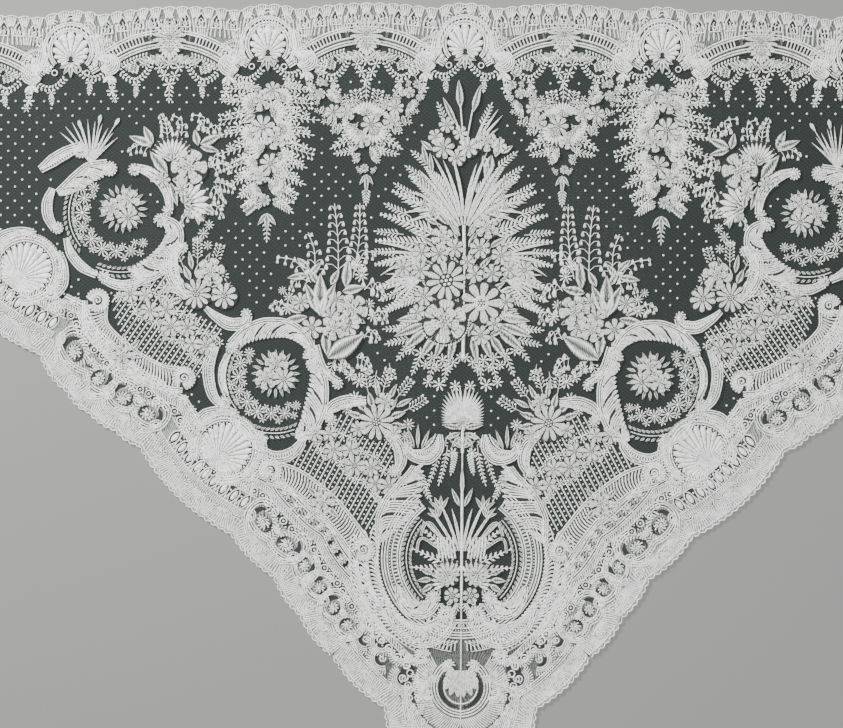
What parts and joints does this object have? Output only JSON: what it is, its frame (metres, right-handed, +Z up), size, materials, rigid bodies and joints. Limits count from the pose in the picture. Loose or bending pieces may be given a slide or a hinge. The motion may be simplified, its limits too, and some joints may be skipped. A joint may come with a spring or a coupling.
{
  "type": "lace half shawl",
  "caption": "Large triangular lace half shawl laid flat: scalloped clothwork borders and flower sprays sewn on a fine net ground.",
  "frame": {"origin": "centre of the bounding box's underside, on the surface that the shawl lies on", "axes": "+X along the long edge, to the right as the shawl is looked down on with its point towards the viewer; +Y from the point to the long edge; +Z up, out of the cloth's face"},
  "size_m": [2.72, 1.27, 0.0023],
  "materials": {
    "lace_clothwork": "matt woven thread, slightly raised cords",
    "net_ground": "fine matt net"
  },
  "bodies": {
    "root": {"bell_bouquet_left": "lace_clothwork", "bell_bouquet_right": "lace_clothwork", "centre_bouquet": "lace_clothwork", "far_filling_left": "lace_clothwork", "far_filling_right": "lace_clothwork", "far_frame_left": "lace_clothwork", "far_frame_right": "lace_clothwork", "far_panel_left": "lace_clothwork", "far_panel_right": "lace_clothwork", "festoon_left": "lace_clothwork", "festoon_right": "lace_clothwork", "lower_border_left": "lace_clothwork", "lower_border_right": "lace_clothwork", "near_filling_left": "lace_clothwork", "near_filling_right": "lace_clothwork", "near_frame_left": "lace_clothwork", "near_frame_right": "lace_clothwork", "near_panel_left": "lace_clothwork", "near_panel_right": "lace_clothwork", "net_ground": "net_ground", "palm_finial": "lace_clothwork", "pendant_left": "lace_clothwork", "pendant_right": "lace_clothwork", "point_border": "lace_clothwork", "point_bouquet": "lace_clothwork", "reed_cluster_left": "lace_clothwork", "reed_cluster_right": "lace_clothwork", "rose_bouquet_left": "lace_clothwork", "rose_bouquet_right": "lace_clothwork", "top_border": "lace_clothwork"}
  },
  "joints": []
}
